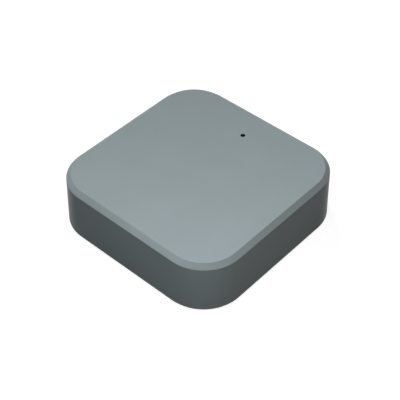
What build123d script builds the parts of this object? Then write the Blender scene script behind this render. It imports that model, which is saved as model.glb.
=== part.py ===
from build123d import *
from math import atan, cos, degrees, pi, radians, sin, sqrt, tan
import os

os.makedirs("parts", exist_ok=True)

# A square battery-powered wireless touch switch. The frame has +Z up through the touch face and +Y
# towards the edge with the indicator pinhole. The origin is under the middle of the body, on the plane
# that its feet stand on. All sizes are in millimetres and degrees.

# Outer body
body_side = 70.0  # square footprint at the foot of the cover
body_height = 19.0  # foot of the cover to the touch face
corner_radius = 14.7  # corner in plan, at the foot
side_draft = 1.7  # moulding draft of the side walls
chamfer_width = 1.65  # bevel round the touch face, measured inwards
chamfer_height = 1.5  # the same bevel, measured down
edge_softening = 0.12  # radius that the mould leaves on the bevel's two edges
foot_edge_softening = 0.3  # radius round the foot of the cover
pinhole_diameter = 1.7  # indicator hole in the touch face
pinhole_y = 22.2  # its distance from the middle, towards +Y

# Cover walls
side_wall = 2.0
top_wall = 2.0

# Base
base_thickness = 2.2
base_clearance = 0.15  # all round, between the base's edge and the cover
foot_proud = 0.5  # how far the feet hold the base off the table

# Screws that hold the base to the cover, each under a foot
screw_inset = 7.7  # from the cavity's walls to the axis of the screw in their corner
housing_screw_diameter = 2.6
housing_screw_length = 9.0
housing_screw_head_diameter = 4.5
housing_screw_head_height = 1.7
boss_diameter = 5.6
turret_wall = 1.2  # round each screw head's pocket
turret_seat = 1.5  # plastic that a screw head clamps
head_pocket_clearance = 0.25
shank_clearance = 0.15
pilot_spare = 1.5  # how much deeper a pilot hole is than its screw
foot_diameter = 8.0
foot_thickness = 1.5
foot_pocket_clearance = 0.2
foot_rounding = 0.4

# Every screw's drive and tip, as shares of its own head and shank
screw_head_rounding = 0.45  # of the head's height
screw_drive_span = 0.55  # of the head's diameter
screw_drive_slot = 0.22  # of the drive's span
screw_drive_depth = 0.55  # of the head's height
screw_drive_taper = 4.0
screw_tip_share = 0.25  # of the shank's diameter

# Cells, size AAA
cell_diameter = 10.5
cell_length = 44.5
cell_button_diameter = 3.8
cell_button_height = 1.0
cell_jacket = 0.15
cell_jacket_inset = 0.6  # bare metal that the jacket leaves at each end
cell_rounding = 0.4
cell_clearance = 0.2  # round each cell in its bay
cell_gap = 0.6  # between the two cells

# Battery contacts
contact_thickness = 0.3
contact_width = 8.0
contact_drop = 3.25  # from a cell's axis down to its plate's lower edge
contact_rise = 3.0  # and up to the upper edge
contact_dimple_height = 0.6
contact_dimple_diameter = 4.0
contact_dimple_taper = 35.0
contact_tab_width = 2.4
contact_tab_length = 2.6  # outside the bay's end wall
contact_slot_clearance = 0.1
contact_spring_length = 3.8
contact_spring_wire = 0.5
contact_spring_wide = 7.0  # coil diameter at the plate
contact_spring_narrow = 4.6  # coil diameter at the cell
contact_spring_turns = 3
rail_lip = 0.4  # how far a rail laps over its plate's edge
rail_side = 0.5  # and how far it stands beyond that edge
rail_front = 0.5  # plastic in front of the plate

# Battery bay and its door
bay_wall = 1.2
bay_centre_y = -8.2
bay_web_rise = 2.5  # lower edge of the web between the two cells, above their axes
bay_skirt_width = 0.9  # thickening at the foot of the bay's walls
bay_skirt_height = 1.2
door_ledge = 0.8  # how far the door's opening is wider than the bay, each way
door_gap = 0.3
door_seat_gap = 0.2  # between the door's inner face and the bay's walls
door_corner = 1.0
hinge_pin_diameter = 1.2
hinge_pin_length = 1.3
hinge_pin_clearance = 0.05
hinge_pin_end_gap = 0.3
door_foam_width = 4.0
door_foam_thickness = 1.5
door_foam_length = 38.0
latch_width = 9.0
latch_thickness = 1.0
latch_rise = 4.2  # how far the latch's spring bow stands above the door
latch_bow_gap = 1.4  # between the two legs of the bow
latch_grip = 0.35  # how far the barb reaches over its catch
latch_barb_height = 0.9
latch_play = 0.1  # between the barb and its catch
latch_gap = 0.3  # round the latch in its notch
latch_head_gap = 0.5  # over the bow
latch_pad = 1.0  # finger pad, outwards from the bow
latch_pad_thickness = 0.9
latch_pad_recess = 0.1
catch_wall = 1.4  # collar round the latch's notch
catch_height = 1.2  # the collar above the base's inner face
scoop_diameter = 12.0
scoop_depth = 1.3
scoop_taper = 30.0

# Keyholes for two wall screws
keyhole_pitch = 40.0
keyhole_y = 9.6  # middle of the round entry
keyhole_entry_diameter = 8.0
keyhole_slot_width = 4.2
keyhole_slot_rise = 6.4  # from the entry's middle to the middle of the slot's end arc
keyhole_pocket_height = 3.6  # room above the base plate for a screw's head
keyhole_pocket_wall = 1.0

# Main board
board_thickness = 1.2
board_underside = 8.6  # height above the table
board_side_gap = 2.2  # to the cavity's walls at the board's two ends
board_back_gap = 2.4  # to the cavity's back wall
board_bay_gap = 1.0  # to the battery bay's back wall
board_boss_gap = 1.5  # from the shoulders to the rear bosses that they clear
board_corner = 1.2
board_post_diameter = 4.8
board_screw_diameter = 2.0
board_screw_length = 5.0
board_screw_head_diameter = 3.6
board_screw_head_height = 1.3
board_front_screw_inset_x = 3.0  # from the board's edges to its front screws
board_front_screw_inset_y = 2.6
board_back_screw_inset_x = 3.6  # and to its back screws
board_back_screw_inset_y = 3.0

# Pairing button and the tactile switch above it
button_y = 14.0
button_diameter = 5.0
button_recess = 0.2
button_clearance = 0.2
button_travel = 0.25
button_flange = 0.9  # how far the flange stands out
button_flange_height = 1.0
button_flange_gap = 0.05  # between the flange and the base at rest
button_lift_gap = 0.05
button_stem_diameter = 3.0
button_guide_wall = 1.0
button_guide_height = 1.6
tact_side = 6.0
tact_height = 3.3
tact_cover_thickness = 0.2
tact_plunger_diameter = 3.4
tact_plunger_out = 0.9
tact_dome_gap = 0.25  # between the plunger and the dome when the button is fully in
tact_plunger_clearance = 0.1
tact_collar_diameter = 4.0
tact_collar_height = 0.5
tact_chamber_diameter = 4.6
tact_chamber_roof = 0.7
tact_dome_diameter = 4.4
tact_dome_bulge = 0.5
tact_dome_thickness = 0.12
tact_lead_width = 0.7
tact_lead_reach = 0.9
tact_lead_pitch = 4.5
tact_lead_rise = 1.2

# Touch sensing
electrode_wall_gap = 3.0  # from the cross-shaped film's four ends to the cavity's walls
electrode_boss_gap = 1.5  # the film passes between the screw bosses
electrode_corner = 3.0
electrode_thickness = 0.15
adhesive_thickness = 0.15
electrode_pipe_gap = 0.6
touch_spring_wire = 0.5
touch_spring_wide = 7.6
touch_spring_narrow = 4.4
touch_spring_turns = 5
touch_spring_x = 8.6
touch_spring_y = 12.6

# Indicator
pipe_recess = 0.7  # end of the light pipe below the touch face
pipe_clearance = 0.08
pipe_flange_diameter = 4.4
pipe_flange_height = 0.9
pipe_stem_diameter = 2.8
pipe_led_gap = 0.3
led_length = 2.0
led_width = 1.25
led_height = 0.8

# Radio module
module_length = 15.4
module_width = 11.4
module_thickness = 0.8
module_edge_gap = 0.3  # to the board's end
module_shoulder_gap = 0.1  # to the board's shoulder
shield_length = 9.8
shield_width = 9.8
shield_height = 1.9
shield_wall = 0.2
shield_inset = 0.6  # from the module's inner end
radio_chip_side = 5.0
radio_chip_height = 0.9
antenna_line = 0.5
antenna_pitch = 1.2
antenna_turn_count = 4
antenna_length = 9.0
antenna_edge = 0.5  # from the module's outer end
antenna_thickness = 0.05

# Other parts on the board
controller_length = 9.9
controller_width = 3.9
controller_height = 1.5
controller_x = 9.6
controller_inset = 9.0  # from the board's back edge to the controller's middle
controller_pin_count = 8  # on each side
controller_pin_pitch = 1.27
controller_pin_reach = 1.0
regulator_length = 2.9
regulator_width = 1.6
regulator_height = 1.1
regulator_inset = 3.2  # from the board's end to the regulator's middle
regulator_y = 14.4
regulator_pin_count = 3
regulator_pin_pitch = 0.95
regulator_pin_reach = 0.6
pin_thickness = 0.2
pin_width_share = 0.35  # of the pin pitch
package_standoff = 0.1
capacitor_can_diameter = 6.3
capacitor_can_height = 4.5
capacitor_can_rounding = 0.4
capacitor_base_side = 6.6
capacitor_base_height = 0.9
capacitor_base_cut = 1.2  # clipped corners that mark the positive side
capacitor_inset = 10.6  # from the board's end to the capacitor's middle
capacitor_shoulder_gap = 2.1  # from its base to the board's shoulder
crystal_length = 3.2
crystal_width = 2.5
crystal_height = 0.8
crystal_inset = 2.2  # from the board's back edge to the crystal's middle
chip_length = 1.6
chip_width = 0.8
chip_height = 0.6
chip_end = 0.3
chip_sink = 0.03  # how much lower a chip's body is than its ends
crystal_chip_reach = 4.4  # from the crystal's middle to the capacitor on each side
regulator_chip_reach = 2.7  # from the regulator's middle to its capacitor
regulator_chip_offset = 1.0
controller_chip_reach = 5.6  # from the controller's middle to the two chips behind it
controller_chip_pitch = 3.6
free_capacitor_places = ((-10.6, 18.8), (-10.6, 20.6))
free_resistor_places = (
    (-4.0, 24.6),
    (4.0, 26.2),
    (0.0, 18.4),
    (-6.8, 18.8),
    (-6.8, 20.6),
    (16.4, 8.6),
    (-14.4, 7.4),
)

# Battery leads
lead_diameter = 0.9
lead_run_height = 14.2  # middle of a lead above the table where it runs level
lead_tab_inset = 1.2  # from a contact tab's end to the middle of its lead
lead_hole_clearance = 0.1
lead_hole_depth = 0.8  # how far a lead reaches into the board
positive_lead_hole_x = 23.4
positive_lead_hole_y = 8.0
positive_lead_turn_y = 2.5
negative_lead_hole_x = 24.4
negative_lead_hole_y = 10.9
negative_lead_side_x = 29.8  # outer run, clear of the positive lead
negative_lead_first_y = -8.5
negative_lead_last_y = 3.6
run_share = 0.45  # of the shorter run that a bend takes up

# Heights that follow
base_bottom = foot_proud
base_top = base_bottom + base_thickness
touch_face = base_bottom + body_height
cover_ceiling = touch_face - top_wall
board_top = board_underside + board_thickness
foot_pocket_top = foot_thickness
head_pocket_top = foot_pocket_top + housing_screw_head_height + head_pocket_clearance
turret_top = head_pocket_top + turret_seat
cell_axis = base_top + door_gap + cell_diameter / 2
door_top = base_top - door_seat_gap
electrode_bottom = cover_ceiling - adhesive_thickness - electrode_thickness
flange_bottom = base_top + button_flange_gap
tact_bottom = board_underside - tact_height
tact_inner = tact_bottom + tact_cover_thickness
tact_chamber_top = board_underside - tact_chamber_roof
tact_plunger_top = tact_chamber_top - tact_dome_bulge - button_travel - tact_dome_gap

# Plan sizes that follow
cavity_side = body_side - 2 * side_wall
cavity_radius = corner_radius - side_wall
base_side = cavity_side - 2 * base_clearance
base_radius = cavity_radius - base_clearance
chamfer_angle = degrees(atan(chamfer_width / chamfer_height))
head_pocket_diameter = housing_screw_head_diameter + 2 * head_pocket_clearance
turret_diameter = head_pocket_diameter + 2 * turret_wall
cavity_edge = cavity_side / 2
screw_reach = cavity_edge - screw_inset
boss_edge = screw_reach - boss_diameter / 2
housing_screw_places = [(x, y) for x in (-screw_reach, screw_reach) for y in (-screw_reach, screw_reach)]
electrode_length = 2 * (cavity_edge - electrode_wall_gap)
electrode_arm_width = 2 * (boss_edge - electrode_boss_gap)

# Battery bay, door and latch places that follow
cell_pitch = cell_diameter + cell_gap
bay_length = cell_length + 2 * contact_thickness + contact_dimple_height + contact_spring_length
bay_width = cell_pitch + cell_diameter + 2 * cell_clearance
bay_end = bay_length / 2
bay_front_y = bay_centre_y - bay_width / 2
cell_back_y = bay_centre_y + cell_pitch / 2
cell_front_y = bay_centre_y - cell_pitch / 2
cell_middles = [(cell_back_y, cell_axis), (cell_front_y, cell_axis)]
opening_length = bay_length + 2 * door_ledge
opening_width = bay_width + 2 * door_ledge
door_thickness = door_top - base_bottom
door_length = opening_length - 2 * door_gap
door_front_y = bay_centre_y - opening_width / 2 + door_gap
hinge_radius = door_thickness / 2
hinge_y = bay_centre_y + opening_width / 2 - door_gap - hinge_radius
hinge_z = base_bottom + hinge_radius
hinge_middle = (hinge_y, hinge_z)
bow_outer_radius = latch_thickness + latch_bow_gap / 2
bow_middle_y = door_front_y - bow_outer_radius
bow_middle_z = door_top + latch_rise - bow_outer_radius
latch_front_y = door_front_y - 2 * bow_outer_radius
notch_front_y = latch_front_y - latch_gap
catch_top = base_top + catch_height
contact_bottom = cell_axis - contact_drop
contact_height = contact_drop + contact_rise
contact_tab_end = bay_end + bay_wall + contact_tab_length
lead_start_x = contact_tab_end - lead_tab_inset
contact_slot_width = contact_tab_width + 2 * contact_slot_clearance
keyhole_slot_y = keyhole_y + keyhole_slot_rise / 2
keyhole_outer_width = keyhole_entry_diameter + 2 * keyhole_pocket_wall

# Board places that follow
board_end_x = cavity_edge - board_side_gap
board_front_y = bay_centre_y + bay_width / 2 + bay_wall + board_bay_gap
board_back_y = cavity_edge - board_back_gap
board_shoulder_y = boss_edge - board_boss_gap
board_neck_x = boss_edge - board_boss_gap
front_screw_x = board_end_x - board_front_screw_inset_x
front_screw_y = board_front_y + board_front_screw_inset_y
back_screw_x = board_neck_x - board_back_screw_inset_x
back_screw_y = board_back_y - board_back_screw_inset_y
board_screw_places = [
    (-front_screw_x, front_screw_y),
    (front_screw_x, front_screw_y),
    (-back_screw_x, back_screw_y),
    (back_screw_x, back_screw_y),
]
module_x = -board_end_x + module_edge_gap + module_length / 2
module_y = board_shoulder_y - module_shoulder_gap - module_width / 2
controller_y = board_back_y - controller_inset
regulator_x = board_end_x - regulator_inset
capacitor_x = board_end_x - capacitor_inset
capacitor_y = board_shoulder_y - capacitor_shoulder_gap - capacitor_base_side / 2
crystal_y = board_back_y - crystal_inset
controller_chip_y = controller_y + controller_chip_reach
capacitor_places = [
    (-crystal_chip_reach, crystal_y),
    (crystal_chip_reach, crystal_y),
    (regulator_x - regulator_chip_reach, regulator_y - regulator_chip_offset),
    (controller_x + controller_chip_pitch / 2, controller_chip_y),
    *free_capacitor_places,
]
resistor_places = [(controller_x - controller_chip_pitch / 2, controller_chip_y), *free_resistor_places]


def level(height):
    """The horizontal plane at a height above the table."""
    return Plane.XY.offset(height)


def upright(x):
    """The plane across the X axis at x, whose own axes are Y and Z."""
    return Plane.YZ.offset(x)


def save(builder, name):
    """Labels a finished piece and writes its file."""
    builder.part.label = name
    export_step(builder.part, f"parts/{name}.step")


def pan_screws(places, seat, head_diameter, head_height, shank_diameter, length, points_up):
    """Pan-head screws whose heads seat at one height, with their shanks up or down from there."""
    way = 1 if points_up else -1
    shank_plane = Plane(origin=(0, 0, seat), x_dir=(1, 0, 0), z_dir=(0, 0, way))
    head_plane = Plane(origin=(0, 0, seat - way * head_height), x_dir=(1, 0, 0), z_dir=(0, 0, way))
    local_places = [(x, way * y) for x, y in places]
    drive_span = head_diameter * screw_drive_span
    with BuildPart() as screws:
        with BuildSketch(head_plane):
            with Locations(*local_places):
                Circle(head_diameter / 2)
        extrude(amount=head_height)
        crowns = screws.edges().group_by(Axis((0, 0, 0), (0, 0, way)))[0]
        fillet(crowns, head_height * screw_head_rounding)
        with BuildSketch(head_plane):
            with Locations(*local_places):
                Rectangle(drive_span, drive_span * screw_drive_slot)
                Rectangle(drive_span * screw_drive_slot, drive_span)
        extrude(amount=head_height * screw_drive_depth, taper=screw_drive_taper, mode=Mode.SUBTRACT)
        with BuildSketch(shank_plane):
            with Locations(*local_places):
                Circle(shank_diameter / 2)
        extrude(amount=length)
        tips = screws.edges().group_by(Axis((0, 0, 0), (0, 0, way)))[-1]
        chamfer(tips, shank_diameter * screw_tip_share)
    return screws


def biarc(start, start_way, end, end_way):
    """Two arcs in a row that leave one place and reach another in the given directions."""
    across = end - start
    both = start_way + end_way
    bend = 2 * (1 - start_way.dot(end_way))
    reach = (sqrt(across.dot(both) ** 2 + bend * across.dot(across)) - across.dot(both)) / bend
    first_knee = start + start_way * reach
    last_knee = end - end_way * reach
    middle = (first_knee + last_knee) / 2
    TangentArc(start, middle, tangent=start_way)
    TangentArc(middle, end, tangent=last_knee - first_knee)


def coil_place(turned, wide, narrow, wire, length, turns):
    """Middle of a conical coil's wire, in the coil's own axes, after turning by an angle in radians."""
    share = turned / (2 * pi * turns)
    radius = (wide - wire) / 2 - (wide - narrow) / 2 * share
    return Vector(radius * cos(turned), radius * sin(turned), wire / 2 + (length - wire) * share)


def coil_way(turned, wide, narrow, wire, length, turns):
    """Direction of the wire at the same place."""
    radius = (wide - wire) / 2 - (wide - narrow) / 2 * turned / (2 * pi * turns)
    shrink = (wide - narrow) / 2 / (2 * pi * turns)
    climb = (length - wire) / (2 * pi * turns)
    return Vector(
        -radius * sin(turned) - shrink * cos(turned),
        radius * cos(turned) - shrink * sin(turned),
        climb,
    )


def conical_spring(name, seat, wide, narrow, wire, length, turns):
    """A round-wire conical spring that stands on a plane with its wide end, and its least gap to itself."""
    sizes = (wide, narrow, wire, length, turns)
    angles = [quarter * pi / 2 for quarter in range(4 * turns + 1)]
    places = [seat.from_local_coords(coil_place(angle, *sizes)) for angle in angles]
    ways = [
        (seat.from_local_coords(coil_place(angle, *sizes) + coil_way(angle, *sizes)) - place).normalized()
        for angle, place in zip(angles, places)
    ]
    with BuildPart() as spring:
        with BuildLine():
            for step in range(4 * turns):
                biarc(places[step], ways[step], places[step + 1], ways[step + 1])
        with BuildSketch(Plane(origin=places[0], z_dir=ways[0])):
            Circle(wire / 2)
        sweep()
    gap = min((places[step + 4] - places[step]).length for step in range(4 * turns - 3)) - wire
    print(name, "least gap between turns", round(gap, 2), "mm")
    save(spring, name)


def bend_radii(points):
    """A radius for each corner of a route, as large as its two runs allow."""
    places = [Vector(point) for point in points]
    runs = [after - before for before, after in zip(places, places[1:])]
    return [
        run_share * min(run.length, following.length) / tan(radians(run.get_angle(following)) / 2)
        for run, following in zip(runs, runs[1:])
    ]


def lead(name, points):
    """An insulated wire along a route with rounded corners."""
    radii = bend_radii(points)
    with BuildPart() as wire:
        with BuildLine() as route:
            FilletPolyline(*points, radius=radii)
        with BuildSketch(Plane(origin=route.line @ 0, z_dir=route.line % 0)):
            Circle(lead_diameter / 2)
        sweep()
    expected = route.wire().length * pi * lead_diameter**2 / 4
    volume_share = round(wire.part.volume / expected, 4)
    print(name, "bend radii", [round(radius, 2) for radius in radii], "volume over length", volume_share)
    save(wire, name)


def package_body(name, x, y, length, width, height):
    """A moulded chip package that stands just off the board."""
    with BuildPart() as body:
        with BuildSketch(level(board_top + package_standoff)):
            with Locations((x, y)):
                Rectangle(length, width)
        extrude(amount=height - package_standoff)
        chamfer(body.edges().group_by(Axis.Z)[-1], package_standoff)
    save(body, name)


def package_leads(name, x, y, width, height, pins, pitch, reach):
    """Gull-wing leads along both long sides of a package."""
    pin_width = pitch * pin_width_share
    shoulder = board_top + height / 2
    knee = reach / 2
    first_x = x - pitch * (pins - 1) / 2 - pin_width / 2
    with BuildPart() as leads:
        with BuildSketch(*[upright(first_x + pin * pitch) for pin in range(pins)]):
            for side in (1, -1):
                outline = [
                    (0, shoulder),
                    (knee, shoulder),
                    (knee, board_top + pin_thickness),
                    (reach, board_top + pin_thickness),
                    (reach, board_top),
                    (knee - pin_thickness, board_top),
                    (knee - pin_thickness, shoulder - pin_thickness),
                    (0, shoulder - pin_thickness),
                ]
                with BuildLine():
                    Polyline(*[(y + side * (width / 2 + out), z) for out, z in outline], close=True)
                make_face()
        extrude(amount=pin_width)
    save(leads, name)


def chip_bodies(name, places):
    """The bodies of small chip parts, between their metal ends."""
    with BuildPart() as bodies:
        with BuildSketch(level(board_top + chip_sink)):
            with Locations(*places):
                Rectangle(chip_length - 2 * chip_end, chip_width - 2 * chip_sink)
        extrude(amount=chip_height - 2 * chip_sink)
    save(bodies, name)


# Top cover: one moulding with the touch face, the bevel, the side walls and four screw bosses
with BuildPart() as top_cover:
    with BuildSketch(level(base_bottom)):
        RectangleRounded(body_side, body_side, corner_radius)
    extrude(amount=body_height - chamfer_height, taper=side_draft)
    bevel_root = top_cover.faces().sort_by(Axis.Z)[-1]
    extrude(bevel_root, amount=chamfer_height, taper=chamfer_angle)
    bevel_edges = top_cover.edges().filter_by_position(
        Axis.Z, touch_face - chamfer_height - edge_softening, touch_face + edge_softening
    )
    fillet(bevel_edges, edge_softening)
    fillet(top_cover.edges().group_by(Axis.Z)[0], foot_edge_softening)
    with BuildSketch(level(base_bottom)):
        RectangleRounded(cavity_side, cavity_side, cavity_radius)
    extrude(amount=cover_ceiling - base_bottom, taper=side_draft, mode=Mode.SUBTRACT)
    with BuildSketch(level(turret_top)):
        with Locations(*housing_screw_places):
            Circle(boss_diameter / 2)
    extrude(amount=cover_ceiling - turret_top)
    with BuildSketch(level(turret_top)):
        with Locations(*housing_screw_places):
            Circle(housing_screw_diameter / 2)
    extrude(amount=housing_screw_length - turret_seat + pilot_spare, mode=Mode.SUBTRACT)
    with BuildSketch(level(cover_ceiling)):
        with Locations((0, pinhole_y)):
            Circle(pinhole_diameter / 2)
    extrude(amount=top_wall, mode=Mode.SUBTRACT)
save(top_cover, "top_cover")

# Base plate: floor, screw turrets, battery bay, keyhole pockets, button guide and board posts in one moulding
skirt_reach = 2 * (bay_wall + bay_skirt_width)
rail_height = contact_drop + contact_rise
catch_side = latch_width + 2 * (latch_gap + catch_wall)
notch_top = door_top + latch_rise + latch_head_gap
bay_outer_radius = cell_diameter / 2 + cell_clearance + bay_wall
guide_bore = button_diameter / 2 + button_flange + button_clearance
hinge_hole_end = door_length / 2 + hinge_pin_length + hinge_pin_end_gap
contact_plates = [
    (1, cell_back_y, contact_width),
    (1, cell_front_y, contact_width),
    (-1, bay_centre_y, cell_pitch + contact_width),
]
contact_edges = [
    (end, middle_y + side * width / 2, side) for end, middle_y, width in contact_plates for side in (-1, 1)
]
from_below = (Align.CENTER, Align.MIN)
from_behind = (Align.CENTER, Align.MAX)
with BuildPart() as base_plate:
    with BuildSketch(level(base_bottom)):
        RectangleRounded(base_side, base_side, base_radius)
    extrude(amount=base_thickness, taper=side_draft)
    with BuildSketch(level(base_top)):
        with Locations((0, bay_centre_y)):
            Rectangle(bay_length + skirt_reach, bay_width + skirt_reach)
    extrude(amount=bay_skirt_height)
    with BuildSketch(level(base_top)):
        with Locations((0, bay_front_y)):
            Rectangle(catch_side, bay_front_y - notch_front_y + catch_wall, align=from_behind)
    extrude(amount=catch_height)
    with BuildSketch(level(base_bottom)):
        with Locations(*housing_screw_places):
            Circle(turret_diameter / 2)
    extrude(amount=turret_top - base_bottom)
    with BuildSketch(level(base_top)):
        with Locations(*board_screw_places):
            Circle(board_post_diameter / 2)
    extrude(amount=board_underside - base_top)
    with BuildSketch(level(base_top)):
        with Locations((0, button_y)):
            Circle(guide_bore + button_guide_wall)
    extrude(amount=button_guide_height)
    with BuildSketch(level(base_top)):
        with Locations((-keyhole_pitch / 2, keyhole_slot_y), (keyhole_pitch / 2, keyhole_slot_y)):
            SlotCenterToCenter(keyhole_slot_rise, keyhole_outer_width, rotation=90)
    extrude(amount=keyhole_pocket_height + keyhole_pocket_wall)
    with BuildSketch(upright(-bay_end - bay_wall)):
        with Locations((bay_centre_y, base_top)):
            Rectangle(bay_width + 2 * bay_wall, cell_axis - base_top, align=from_below)
        with Locations((bay_centre_y, cell_axis)):
            Rectangle(cell_pitch, bay_web_rise, align=from_below)
        with Locations(*cell_middles):
            Circle(bay_outer_radius)
    extrude(amount=bay_length + 2 * bay_wall)
    # Room for the cells and for the door
    with BuildSketch(upright(-bay_end)):
        with Locations((bay_centre_y, base_bottom)):
            Rectangle(bay_width, cell_axis - base_bottom, align=from_below)
        with Locations((bay_centre_y, cell_axis)):
            Rectangle(cell_pitch, bay_web_rise, align=from_below)
        with Locations(*cell_middles):
            Circle(cell_diameter / 2 + cell_clearance)
    extrude(amount=bay_length, mode=Mode.SUBTRACT)
    with BuildSketch(level(base_bottom)) as door_opening:
        with Locations((0, bay_centre_y)):
            Rectangle(opening_length, opening_width)
        fillet(door_opening.vertices().group_by(Axis.Y)[0], door_corner + door_gap)
    extrude(amount=base_thickness, mode=Mode.SUBTRACT)
    with BuildSketch(upright(-hinge_hole_end)):
        with Locations(hinge_middle):
            Circle(hinge_pin_diameter / 2 + hinge_pin_clearance)
    extrude(amount=2 * hinge_hole_end, mode=Mode.SUBTRACT)
    with BuildSketch(level(base_bottom)):
        with Locations((0, bay_front_y)):
            Rectangle(latch_width + 2 * latch_gap, bay_front_y - notch_front_y, align=from_behind)
    extrude(amount=notch_top - base_bottom, mode=Mode.SUBTRACT)
    with BuildSketch(level(base_bottom)):
        with Locations((0, latch_front_y - latch_pad)):
            Circle(scoop_diameter / 2)
    extrude(amount=scoop_depth, taper=scoop_taper, mode=Mode.SUBTRACT)
    # Rails that hold the contact plates, and slots for their tabs
    with BuildSketch(level(contact_bottom)):
        for end, edge_y, side in contact_edges:
            with Locations((end * bay_end, edge_y + side * rail_side)):
                Rectangle(
                    contact_thickness + rail_front,
                    rail_lip + rail_side,
                    align=(Align.MAX if end > 0 else Align.MIN, Align.MAX if side > 0 else Align.MIN),
                )
    extrude(amount=rail_height)
    with BuildSketch(level(contact_bottom)):
        for end, middle_y, width in contact_plates:
            with Locations((end * bay_end, middle_y)):
                Rectangle(contact_thickness, width, align=(Align.MAX if end > 0 else Align.MIN, Align.CENTER))
    extrude(amount=rail_height, mode=Mode.SUBTRACT)
    with BuildSketch(level(base_top)):
        for tab_y in (cell_back_y, cell_front_y):
            with Locations((bay_end, tab_y)):
                Rectangle(bay_wall, contact_slot_width, align=(Align.MIN, Align.CENTER))
    extrude(amount=contact_bottom + contact_thickness - base_top, mode=Mode.SUBTRACT)
    # Pockets for the feet and screw heads, and holes for the screws
    with BuildSketch(level(base_bottom)):
        with Locations(*housing_screw_places):
            Circle(foot_diameter / 2 + foot_pocket_clearance)
    extrude(amount=foot_pocket_top - base_bottom, mode=Mode.SUBTRACT)
    with BuildSketch(level(foot_pocket_top)):
        with Locations(*housing_screw_places):
            Circle(head_pocket_diameter / 2)
    extrude(amount=head_pocket_top - foot_pocket_top, mode=Mode.SUBTRACT)
    with BuildSketch(level(head_pocket_top)):
        with Locations(*housing_screw_places):
            Circle(housing_screw_diameter / 2 + shank_clearance)
    extrude(amount=turret_seat, mode=Mode.SUBTRACT)
    with BuildSketch(level(board_underside)):
        with Locations(*board_screw_places):
            Circle(board_screw_diameter / 2)
    extrude(amount=board_thickness - board_screw_length - pilot_spare, mode=Mode.SUBTRACT)
    # Pairing button's hole and guide
    with BuildSketch(level(base_bottom)):
        with Locations((0, button_y)):
            Circle(button_diameter / 2 + button_clearance)
    extrude(amount=base_thickness, mode=Mode.SUBTRACT)
    with BuildSketch(level(base_top)):
        with Locations((0, button_y)):
            Circle(guide_bore)
    extrude(amount=button_guide_height, mode=Mode.SUBTRACT)
    # Keyholes: a round entry and a slot through the floor, and a pocket for the screw's head above them
    with BuildSketch(level(base_bottom)):
        with Locations((-keyhole_pitch / 2, keyhole_y), (keyhole_pitch / 2, keyhole_y)):
            Circle(keyhole_entry_diameter / 2)
        with Locations((-keyhole_pitch / 2, keyhole_slot_y), (keyhole_pitch / 2, keyhole_slot_y)):
            SlotCenterToCenter(keyhole_slot_rise, keyhole_slot_width, rotation=90)
    extrude(amount=base_thickness, mode=Mode.SUBTRACT)
    with BuildSketch(level(base_top)):
        with Locations((-keyhole_pitch / 2, keyhole_slot_y), (keyhole_pitch / 2, keyhole_slot_y)):
            SlotCenterToCenter(keyhole_slot_rise, keyhole_entry_diameter, rotation=90)
    extrude(amount=keyhole_pocket_height, mode=Mode.SUBTRACT)
save(base_plate, "base_plate")

# Battery door: a slab with a round hinge edge and stub pins at the back, and a sprung latch at the front
with BuildPart() as battery_door:
    with BuildSketch(level(base_bottom)) as door_slab:
        with Locations((0, door_front_y)):
            Rectangle(door_length, hinge_y - door_front_y, align=from_below)
        fillet(door_slab.vertices().group_by(Axis.Y)[0], door_corner)
        with Locations((0, door_front_y)):
            Rectangle(latch_width, latch_thickness, align=from_behind)
    extrude(amount=door_thickness)
    with BuildSketch(upright(-door_length / 2)):
        with Locations(hinge_middle):
            Circle(hinge_radius)
    extrude(amount=door_length)
    with BuildSketch(upright(-door_length / 2 - hinge_pin_length)):
        with Locations(hinge_middle):
            Circle(hinge_pin_diameter / 2)
    extrude(amount=door_length + 2 * hinge_pin_length)
    with BuildSketch(upright(-latch_width / 2)):
        with Locations((bow_middle_y, bow_middle_z)):
            Circle(bow_outer_radius)
            Circle(latch_bow_gap / 2, mode=Mode.SUBTRACT)
            Rectangle(2 * bow_outer_radius, bow_outer_radius, align=from_behind, mode=Mode.SUBTRACT)
        with Locations((door_front_y - latch_thickness / 2, bow_middle_z)):
            Rectangle(latch_thickness, bow_middle_z - base_bottom, align=from_behind)
        with Locations((latch_front_y + latch_thickness / 2, bow_middle_z)):
            Rectangle(latch_thickness, bow_middle_z - base_bottom - latch_pad_recess, align=from_behind)
        with Locations((latch_front_y - latch_pad / 2, base_bottom + latch_pad_recess)):
            Rectangle(latch_pad, latch_pad_thickness, align=from_below)
        with BuildLine():
            Polyline(
                (latch_front_y, catch_top + latch_play),
                (notch_front_y - latch_grip, catch_top + latch_play),
                (latch_front_y, catch_top + latch_play + latch_barb_height),
                close=True,
            )
        make_face()
    extrude(amount=latch_width)
save(battery_door, "battery_door")

with BuildPart() as door_foam_strip:
    with BuildSketch(level(door_top)):
        with Locations((0, bay_centre_y)):
            Rectangle(door_foam_length, door_foam_width)
    extrude(amount=door_foam_thickness)
save(door_foam_strip, "door_foam_strip")

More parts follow.
